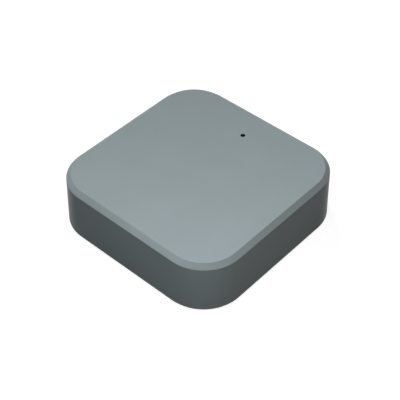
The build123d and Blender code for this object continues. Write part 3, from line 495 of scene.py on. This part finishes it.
def smoked(name, tone):
    """Dark smoked acrylic, with faint flow lines along the light pipe."""
    finish = Finish(name, tone, 0.3, Specular_IOR_Level=0.02)
    flow = finish.mottle(0.4, stretch=(1, 1, 6))
    finish.varies(
        Base_Color=finish.clouded(0.3, 0.8, stretch=(1, 1, 6)),
        Roughness=0.24 + flow * 0.12,
        Normal=finish.raise_by(flow, 0.004),
    )
    return finish.material


def phosphor(name, middle):
    """A small light: pale resin over a yellow die."""
    finish = Finish(name, (0.7, 0.68, 0.6), 0.25)
    die_reach, resin_from = 0.3, 0.55
    die = 1 - finish.rises(finish.away(middle.x / MM, middle.y / MM), die_reach, resin_from)
    resin = finish.mottle(0.3)
    finish.varies(
        Base_Color=finish.blend(die, finish.clouded(0.05, 0.6), (0.75, 0.6, 0.12)),
        Roughness=0.18 + resin * 0.15,
    )
    return finish.material


def canned(name, tone, middle, top):
    """A capacitor's aluminium can with its black half-moon on top."""
    finish = Finish(name, tone, 0.32, Metallic=1.0)
    mark_depth, mark_aside = 0.15, 1.3
    marked = (finish.along(2) > top / MM - mark_depth) * (finish.along(0) < middle.x / MM - mark_aside)
    streaks = finish.mottle(0.1, detail=3.0, stretch=(1, 1, 12))
    finish.varies(
        Base_Color=finish.blend(marked, finish.clouded(0.05, 2), (0.012, 0.012, 0.012)),
        Metallic=1 - marked,
        Roughness=0.26 + streaks * 0.14,
        Normal=finish.raise_by(streaks, 0.003),
    )
    return finish.material


def ceramic(name, tone):
    """Fired ceramic with a fine speckle."""
    finish = Finish(name, tone, 0.45)
    specks = finish.mottle(0.06, detail=3.0)
    finish.varies(
        Base_Color=finish.blend(specks, tuple(part * 0.8 for part in finish.tone), finish.tone),
        Roughness=0.4 + specks * 0.15,
        Normal=finish.raise_by(specks, 0.004),
    )
    return finish.material


def dress(material, *names):
    """Puts a material on CAD nodes."""
    for name in names:
        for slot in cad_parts[name].material_slots:
            slot.material = material


# Shapes


def piece(name, shape, material, body):
    """Turns a finished mesh into a piece that rides on a body."""
    mesh = bpy.data.meshes.new(name)
    bmesh.ops.recalc_face_normals(shape, faces=shape.faces)
    shape.to_mesh(mesh)
    shape.free()
    for face in mesh.polygons:
        face.use_smooth = True
    mesh.materials.append(material)
    made = bpy.data.objects.new(name, mesh)
    bpy.context.scene.collection.objects.link(made)
    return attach(made, body)


def skin(shape, rings, closed=False):
    """Joins rings of points with faces, and either caps the two ends or joins them too."""
    for first, last in zip(rings, rings[1:] + rings[:1] if closed else rings[1:]):
        for step in range(len(first)):
            after = (step + 1) % len(first)
            shape.faces.new((first[step], first[after], last[after], last[step]))
    if not closed:
        shape.faces.new(rings[0])
        shape.faces.new(rings[-1])


def bend(aside, up, radius, end):
    """Points of an outline's arc round a middle, from level up to an end angle in degrees."""
    turns = [math.radians(angle) for angle in range(0, end + 1, 15)]
    return [(aside + radius * math.cos(turned), up + radius * math.sin(turned)) for turned in turns]


def turn(shape, outline, foot, out, steps=40, closed=False, uneven=0.0):
    """Adds a turned form: an outline of (radius, height) round an axis that leaves a foot one way."""
    # How fast the unevenness changes from one form to the next, round a form and along it
    between, round_it, along_it = 900, 1.7, 2000
    out = Vector(out).normalized()
    aside = out.orthogonal().normalized()
    beside = out.cross(aside)
    rings = []
    for radius, height in outline:
        ring = []
        for step in range(steps):
            around = 2 * math.pi * step / steps
            spoke = aside * math.cos(around) + beside * math.sin(around)
            wave = 1 + uneven * noise.noise(foot * between + spoke * round_it + out * height * along_it)
            ring.append(shape.verts.new(foot + spoke * radius * wave + out * height))
        rings.append(ring)
    skin(shape, rings, closed)


def foam_block(low, high, inset, crown, pores):
    """A die-cut foam strip: flat where it is stuck on, slightly crowned and uneven elsewhere."""
    middle = (low + high) / 2
    reach = (high - low) / 2 - Vector((inset, inset, 0))
    along, around = 150, 44
    # How rounded its long edges are, how suddenly and how much it narrows at its ends, and the level below
    # which it lies flat on the door
    rounding = 0.28
    suddenness, narrowing = 60, 0.06
    stuck_below = -0.98
    shape = bmesh.new()
    rings = []
    for station in range(along + 1):
        run = 2 * station / along - 1
        narrow = (1 - abs(run) ** suddenness) ** 0.5 * narrowing + (1 - narrowing)
        ring = []
        for step in range(around):
            turned = 2 * math.pi * (step + 0.5) / around
            side, rise = math.cos(turned), math.sin(turned)
            side = math.copysign(abs(side) ** rounding, side)
            rise = math.copysign(abs(rise) ** rounding, rise)
            place = Vector((run * reach.x, side * reach.y * narrow, rise * reach.z))
            lump = noise.noise(place / pores) * 0.5 + noise.noise(place / pores * 2.3) * 0.3
            if rise > stuck_below:
                place.z -= crown * side * side * (rise + 1) / 2
                place.y += lump * inset * side
                place.z += lump * inset * rise - inset * (rise + 1) / 2
            ring.append(shape.verts.new(middle + place))
        rings.append(ring)
    skin(shape, rings)
    return shape


# Operators


class PieceOperator:
    """What every operator here shares."""

    bl_options = {"REGISTER", "UNDO"}


class SWITCH_OT_mouldings(PieceOperator, Operator):
    """Gives the cover, base, door, button and feet their plastic and rubber"""

    bl_idname = "switch.mouldings"
    bl_label = "Mouldings"

    def execute(self, context):
        wanted = context.scene.switch_moulding
        grain = wanted.grain
        cover = moulded("satin_cover", wanted.cover, wanted.cover_roughness, grain, depth=0.006, gloss=0.03)
        dress(cover, "top_cover")
        base = moulded("satin_base", wanted.base, 0.55, grain, depth=0.01, gloss=0.3)
        dress(base, "base_plate", "battery_door")
        button = moulded("satin_button", wanted.button, 0.4, grain, depth=0.004)
        dress(button, "pairing_button", "tact_switch_plunger", "tact_switch_housing", "bulk_capacitor_base")
        rubber = rubbery("soft_rubber", wanted.rubber, grain)
        dress(rubber, "rubber_foot_1", "rubber_foot_2", "rubber_foot_3", "rubber_foot_4")
        return {"FINISHED"}


class SWITCH_OT_lens(PieceOperator, Operator):
    """Makes the light pipe's dark lens, which fills the pinhole"""

    bl_idname = "switch.lens"
    bl_label = "Pinhole lens"

    def execute(self, context):
        wanted = context.scene.switch_moulding
        acrylic = smoked("smoked_acrylic", wanted.lens)
        dress(acrylic, "light_pipe")
        low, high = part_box("light_pipe")
        foot = Vector(((low.x + high.x) / 2, (low.y + high.y) / 2, high.z))
        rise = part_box("top_cover")[1].z - high.z
        clearance, sunk = 0.015 * MM, 0.03 * MM
        outline = self.dome(wanted.pinhole / 2 - clearance, rise - sunk, corner=0.06 * MM, crown=0.05 * MM)
        shape = bmesh.new()
        turn(shape, outline, foot, (0, 0, 1), steps=64)
        piece("light_pipe_lens", shape, acrylic, "housing")
        return {"FINISHED"}

    def dome(self, radius, height, corner, crown):
        """Outline of a short pin with a rounded edge and a slightly domed end."""
        return [
            (radius, 0.0),
            *bend(radius - corner, height - crown - corner, corner, 75),
            *((radius * run, height - crown * run * run) for run in (0.85, 0.6, 0.35, 0.1)),
        ]


class SWITCH_OT_foam(PieceOperator, Operator):
    """Makes the soft foam strip inside the battery door"""

    bl_idname = "switch.foam"
    bl_label = "Foam strip"

    def execute(self, context):
        wanted = context.scene.switch_foam
        low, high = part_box("door_foam_strip")
        shape = foam_block(low, high, wanted.inset, wanted.crown, wanted.pores)
        foam = foamed("open_foam", wanted.tone, wanted.pores)
        strip = piece("foam_strip", shape, foam, "battery_door")
        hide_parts("door_foam_strip")
        return {"FINISHED"}


class SWITCH_OT_cells(PieceOperator, Operator):
    """Gives the two cells their metal and film, and shrinks the film's rims over their edges"""

    bl_idname = "switch.cells"
    bl_label = "Cells"

    def execute(self, context):
        wanted = context.scene.switch_cells
        nickel = context.scene.switch_metals.nickel
        for name, way in (("battery_1", 1), ("battery_2", -1)):
            dress(plated(name + "_can", nickel, 0.28, stretch=(30, 1, 1)), name)
            low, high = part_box(name + "_jacket")
            start = (high.x if way > 0 else low.x) - way * wanted.band_width
            film = sleeved(name + "_film", wanted.sleeve, wanted.band, start, way)
            dress(film, name + "_jacket")
            shape = bmesh.new()
            middle = (low + high) / 2
            radius = (high.z - low.z) / 2
            shoulder = self.shoulder(wanted.film, radius)
            for end, out in ((low.x, -1), (high.x, 1)):
                foot = Vector((end, middle.y, middle.z))
                turn(shape, shoulder, foot, (out, 0, 0), steps=96, closed=True, uneven=0.012)
            piece(name + "_film_rims", shape, film, "housing")
        return {"FINISHED"}

    def shoulder(self, film, radius):
        """Outline of the film that laps a can's rounded edge, out and back."""
        rounding, start, clear = 0.4 * MM, 0.2 * MM, 0.02 * MM
        sleeve_lap, end_lap, lip_slope = 0.3 * MM, 1.1 * MM, 0.1 * MM
        reach = radius - film
        flat = start + rounding
        lip = reach - end_lap
        return [
            (radius, -sleeve_lap),
            *bend(reach - rounding, start, rounding + film, 90),
            (lip + lip_slope, flat + film),
            (lip, flat + (film + clear) / 2),
            (lip + lip_slope / 2, flat + clear),
            *reversed(bend(reach - rounding, start, rounding + clear, 90)),
            (reach + clear, -sleeve_lap),
        ]


class SWITCH_OT_contacts(PieceOperator, Operator):
    """Gives the battery contacts and their springs their plating"""

    bl_idname = "switch.contacts"
    bl_label = "Battery contacts"

    def execute(self, context):
        nickel = context.scene.switch_metals.nickel
        plates = plated("plated_nickel", nickel, 0.3, stretch=(1, 20, 1))
        dress(plates, "positive_contact", "negative_contact", "bridge_contact")
        dress(plated("nickel_wire", nickel, 0.25), "negative_spring", "bridge_spring")
        return {"FINISHED"}


class SWITCH_OT_leads(PieceOperator, Operator):
    """Gives the two leads their insulation and solders their ends"""

    bl_idname = "switch.leads"
    bl_label = "Leads"

    def execute(self, context):
        wanted = context.scene.switch_board
        dress(insulated("red_insulation", wanted.red), "positive_lead")
        dress(insulated("black_insulation", wanted.black), "negative_lead")
        board_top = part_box("main_board")[1].z
        fillet = ((1, 0), (0.96, 0.06), (0.72, 0.16), (0.56, 0.4), (0.47, 0.75), (0.42, 0.95))
        outline = [(wanted.joint * width, wanted.joint * height) for width, height in fillet]
        shape = bmesh.new()
        for lead, contact in (("positive_lead", "positive_contact"), ("negative_lead", "negative_contact")):
            for foot in self.ends(lead, contact, board_top):
                turn(shape, outline, foot, (0, 0, 1), uneven=0.06)
        solder = soldered("lead_solder", context.scene.switch_metals.tin)
        piece("lead_solder", shape, solder, "housing")
        return {"FINISHED"}

    def ends(self, lead, contact, board_top):
        """Where a lead stands on its contact's tab and where it enters the board."""
        places = [vertex.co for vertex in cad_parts[lead].data.vertices]
        lowest = min(place.z for place in places)
        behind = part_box(contact)[1].y
        foot_height, board_reach = 0.05 * MM, 1.2 * MM
        foot = [place for place in places if place.z < lowest + foot_height]
        entering = [place for place in places if abs(place.z - board_top) < board_reach and place.y > behind]
        for group, height in ((foot, lowest), (entering, board_top)):
            middle = sum(group, Vector()) / len(group)
            yield Vector((middle.x, middle.y, height))


class SWITCH_OT_fasteners(PieceOperator, Operator):
    """Gives the screws their zinc plating"""

    bl_idname = "switch.fasteners"
    bl_label = "Screws"

    def execute(self, context):
        zinc = plated("zinc_plate", context.scene.switch_metals.steel, 0.35, depth=0.004)
        dress(zinc, "housing_screws", "board_screws")
        return {"FINISHED"}


class SWITCH_OT_board(PieceOperator, Operator):
    """Gives the two printed boards their lacquer, tracks and antenna"""

    bl_idname = "switch.board"
    bl_label = "Boards"

    def execute(self, context):
        wanted = context.scene.switch_board
        metals = context.scene.switch_metals
        board = laminated("printed_board", wanted.mask, wanted.track, wanted.track_pitch, metals.tin)
        dress(board, "main_board", "radio_module_board")
        dress(plated("antenna_copper", metals.copper, 0.3), "antenna_trace")
        return {"FINISHED"}


class SWITCH_OT_chips(PieceOperator, Operator):
    """Gives the parts on the boards their packages, metal ends and cans"""

    bl_idname = "switch.chips"
    bl_label = "Parts on the boards"

    def execute(self, context):
        metals = context.scene.switch_metals
        package = compound("chip_compound", context.scene.switch_board.package)
        dress(package, "touch_controller", "voltage_regulator", "radio_chip")
        tinned = plated("tinned_leads", metals.tin, 0.3)
        dress(tinned, "touch_controller_leads", "voltage_regulator_leads")
        dress(tinned, "tact_switch_leads", "chip_terminals")
        sheet = plated("tinned_sheet", metals.tin, 0.36, stretch=(1, 14, 1), depth=0.006)
        dress(sheet, "radio_shield_can", "tact_switch_cover")
        dress(plated("sprung_dome", metals.nickel, 0.22), "tact_switch_dome")
        dress(plated("crystal_lid", metals.tin, 0.26, stretch=(10, 1, 1)), "crystal")
        dress(ceramic("tan_ceramic", (0.36, 0.22, 0.12)), "chip_capacitors")
        dress(ceramic("black_ceramic", (0.02, 0.02, 0.022)), "chip_resistors")
        low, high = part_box("bulk_capacitor")
        dress(canned("aluminium_can", metals.tin, (low + high) / 2, high.z), "bulk_capacitor")
        low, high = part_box("status_led")
        dress(phosphor("light_resin", (low + high) / 2), "status_led")
        return {"FINISHED"}


class SWITCH_OT_sensor(PieceOperator, Operator):
    """Gives the sensing film, its adhesive and the touch springs their finishes"""

    bl_idname = "switch.sensor"
    bl_label = "Touch sensor"

    def execute(self, context):
        metals = context.scene.switch_metals
        dress(plated("film_copper", metals.copper, 0.34, stretch=(8, 1, 1)), "electrode_film")
        dress(glued("clear_adhesive"), "electrode_adhesive")
        dress(plated("gold_wire", metals.gold, 0.22), "touch_spring_left", "touch_spring_right")
        return {"FINISHED"}


def towards(bearing, height):
    """The way out at a bearing from the object's front and a height angle, both in radians."""
    level = math.cos(height)
    return Vector((math.sin(bearing) * level, -math.cos(bearing) * level, math.sin(height)))


class SWITCH_OT_studio(PieceOperator, Operator):
    """Makes the floor, the white surroundings, the lamps and the camera"""

    bl_idname = "switch.studio"
    bl_label = "Studio"

    def execute(self, context):
        wanted = context.scene.switch_studio
        scene = context.scene
        scene.view_settings.view_transform = "Standard"
        self.make_surroundings(scene, wanted.ambient)
        self.make_floor(scene, wanted.bounce, wanted.shadow)
        for lamp in LAMPS:
            self.make_lamp(scene, lamp)
        self.make_camera(scene, wanted)
        return {"FINISHED"}

    def seen(self, tree):
        """1 for what the camera, a gloss or a clear piece shows, and 0 for plain light."""
        camera, gloss, clear = (
            tree.add("ShaderNodeLightPath", out=ray)
            for ray in ("Is Camera Ray", "Is Glossy Ray", "Is Transmission Ray")
        )
        return camera + gloss + clear

    def make_surroundings(self, scene, ambient):
        """Surroundings that look white and give a weak, even light."""
        scene.world = bpy.data.worlds.new("surroundings")
        tree = Tree(scene.world)
        tree.nodes.clear()
        plain, white = (
            tree.add("ShaderNodeBackground", {}, {"Color": (1.0, 1.0, 1.0), "Strength": strength})
            for strength in (ambient, 1.0)
        )
        both = tree.add("ShaderNodeMixShader", {}, {0: self.seen(tree), 1: plain, 2: white})
        tree.add("ShaderNodeOutputWorld", {}, {"Surface": both})

    def make_floor(self, scene, bounce, shadow):
        """A white floor that shows a faint shadow, and that a camera below it looks through."""
        mesh = bpy.data.meshes.new("floor")
        shape = bmesh.new()
        bmesh.ops.create_grid(shape, x_segments=8, y_segments=8, size=FLOOR_REACH)
        bmesh.ops.translate(shape, verts=shape.verts, vec=(0, 0, -FLOOR_DROP))
        shape.to_mesh(mesh)
        shape.free()
        floor = bpy.data.objects.new("floor", mesh)
        scene.collection.objects.link(floor)
        material = bpy.data.materials.new("floor")
        tree = Tree(material)
        tree.nodes.clear()
        lit = SHADOWLESS / sum(KEY.tone) * len(KEY.tone) / math.sin(math.radians(KEY.height))
        grey, shaded = (
            tree.add("ShaderNodeBsdfDiffuse", {}, {"Color": (level, level, level)})
            for level in (bounce, lit)
        )
        white = tree.add("ShaderNodeEmission", {}, {"Color": (1.0, 1.0, 1.0), "Strength": 1.0})
        shown = tree.add("ShaderNodeMixShader", {}, {0: shadow, 1: white, 2: shaded})
        both = tree.add("ShaderNodeMixShader", {}, {0: self.seen(tree), 1: grey, 2: shown})
        clear = tree.add("ShaderNodeBsdfTransparent")
        under = tree.add("ShaderNodeNewGeometry", out="Backfacing")
        through = under * tree.add("ShaderNodeLightPath", out="Is Camera Ray")
        one_way = tree.add("ShaderNodeMixShader", {}, {0: through, 1: both, 2: clear})
        tree.add("ShaderNodeOutputMaterial", {}, {"Surface": one_way})
        mesh.materials.append(material)

    def make_lamp(self, scene, wanted):
        """One lamp of the list, aimed at the middle of the cover."""
        strength = max(wanted.tone)
        if wanted.distance is None:
            light = bpy.data.lights.new(wanted.name, "SUN")
            light.angle = math.radians(wanted.width)
            light.energy = math.pi * strength
        else:
            light = bpy.data.lights.new(wanted.name, "AREA")
            light.shape = "DISK"
            light.size = wanted.width
            light.energy = (math.pi * wanted.distance) ** 2 * strength
        light.color = [part / strength for part in wanted.tone]
        lamp = bpy.data.objects.new(wanted.name, light)
        lamp.visible_camera = False
        lamp.visible_glossy = wanted.name != MATT_LAMP
        scene.collection.objects.link(lamp)
        out = towards(math.radians(wanted.bearing), math.radians(wanted.height))
        low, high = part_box("top_cover")
        lamp.location = (low + high) / 2 + out * (wanted.distance or 1.0)
        lamp.rotation_mode = "QUATERNION"
        lamp.rotation_quaternion = out.to_track_quat("Z", "Y")

    def make_camera(self, scene, wanted):
        """The camera, turned and placed as the settings say."""
        back = towards(wanted.azimuth, wanted.elevation)
        level = Vector((math.cos(wanted.azimuth), math.sin(wanted.azimuth), 0))
        rise = back.cross(level)
        right = level * math.cos(wanted.roll) + rise * math.sin(wanted.roll)
        above = rise * math.cos(wanted.roll) - level * math.sin(wanted.roll)
        low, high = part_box("top_cover")
        middle = Vector((0, 0, (low.z + high.z) / 2))
        place = middle + back * wanted.distance + right * wanted.aside - above * wanted.below
        data = bpy.data.cameras.new("camera")
        data.lens = wanted.lens
        data.clip_start = 0.01
        camera = bpy.data.objects.new("camera", data)
        scene.collection.objects.link(camera)
        camera.matrix_world = Matrix.Translation(place) @ Matrix((right, above, back)).transposed().to_4x4()
        scene.camera = camera


OPERATORS = (
    SWITCH_OT_mouldings,
    SWITCH_OT_lens,
    SWITCH_OT_foam,
    SWITCH_OT_cells,
    SWITCH_OT_contacts,
    SWITCH_OT_leads,
    SWITCH_OT_fasteners,
    SWITCH_OT_board,
    SWITCH_OT_chips,
    SWITCH_OT_sensor,
    SWITCH_OT_studio,
)


class SWITCH_PT_pieces(Panel):
    """Lists the settings and the operators in the sidebar"""

    bl_label = "Touch Switch"
    bl_idname = "SWITCH_PT_pieces"
    bl_space_type = "VIEW_3D"
    bl_region_type = "UI"
    bl_category = "Touch Switch"

    def draw(self, context):
        for name, group in SETTINGS.items():
            box = self.layout.box()
            for setting in group.__annotations__:
                box.prop(getattr(context.scene, name), setting)
        for operator in OPERATORS:
            self.layout.operator(operator.bl_idname)


CLASSES = (*SETTINGS.values(), *OPERATORS, SWITCH_PT_pieces)


def register():
    """Makes the classes and their settings known."""
    for kind in CLASSES:
        bpy.utils.register_class(kind)
    for name, group in SETTINGS.items():
        setattr(bpy.types.Scene, name, PointerProperty(type=group))


def unregister():
    """Takes the settings and the classes away again."""
    for name in SETTINGS:
        delattr(bpy.types.Scene, name)
    for kind in reversed(CLASSES):
        bpy.utils.unregister_class(kind)


def main():
    """Makes everything in order."""
    register()
    for operator in OPERATORS:
        group, name = operator.bl_idname.split(".")
        getattr(getattr(bpy.ops, group), name)()


if __name__ == "__main__":
    main()
